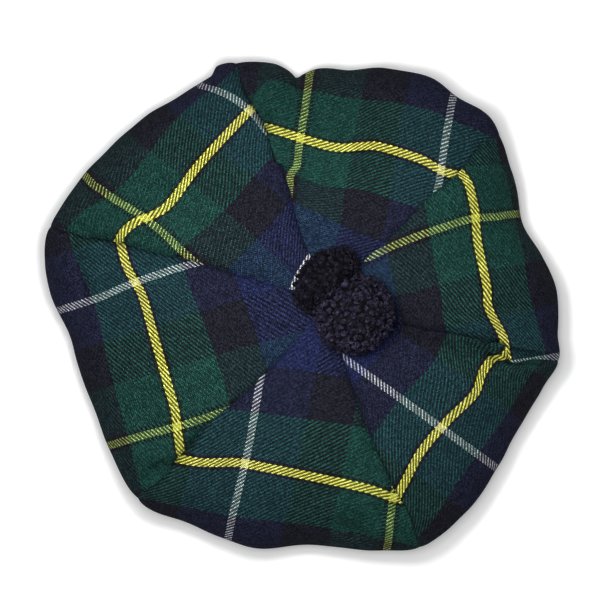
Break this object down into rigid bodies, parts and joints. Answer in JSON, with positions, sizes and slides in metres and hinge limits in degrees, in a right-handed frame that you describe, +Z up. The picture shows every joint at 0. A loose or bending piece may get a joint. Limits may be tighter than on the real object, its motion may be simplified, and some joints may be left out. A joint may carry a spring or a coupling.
{
  "type": "tam o'shanter",
  "caption": "Soft tartan tam o'shanter with a floppy gored crown, a plain headband and a curly wool toorie on top, lying on its band.",
  "frame": {"origin": "on the surface that the hat lies on, under the middle of its box", "axes": "+Z up out of the crown, +Y towards the top of the picture, +X to its right"},
  "size_m": [0.2794, 0.2657, 0.0742],
  "materials": {
    "tartan_wool": "matt two-and-two twill of wool in green, black and blue with a yellow and a white line",
    "band_wool": "the same twill, folded double",
    "black_wool": "matt curly black wool"
  },
  "bodies": {
    "root": {"gore_1": "tartan_wool", "gore_2": "tartan_wool", "gore_3": "tartan_wool", "gore_4": "tartan_wool", "gore_5": "tartan_wool", "gore_6": "tartan_wool", "headband": "band_wool", "toorie": "black_wool"}
  },
  "joints": []
}
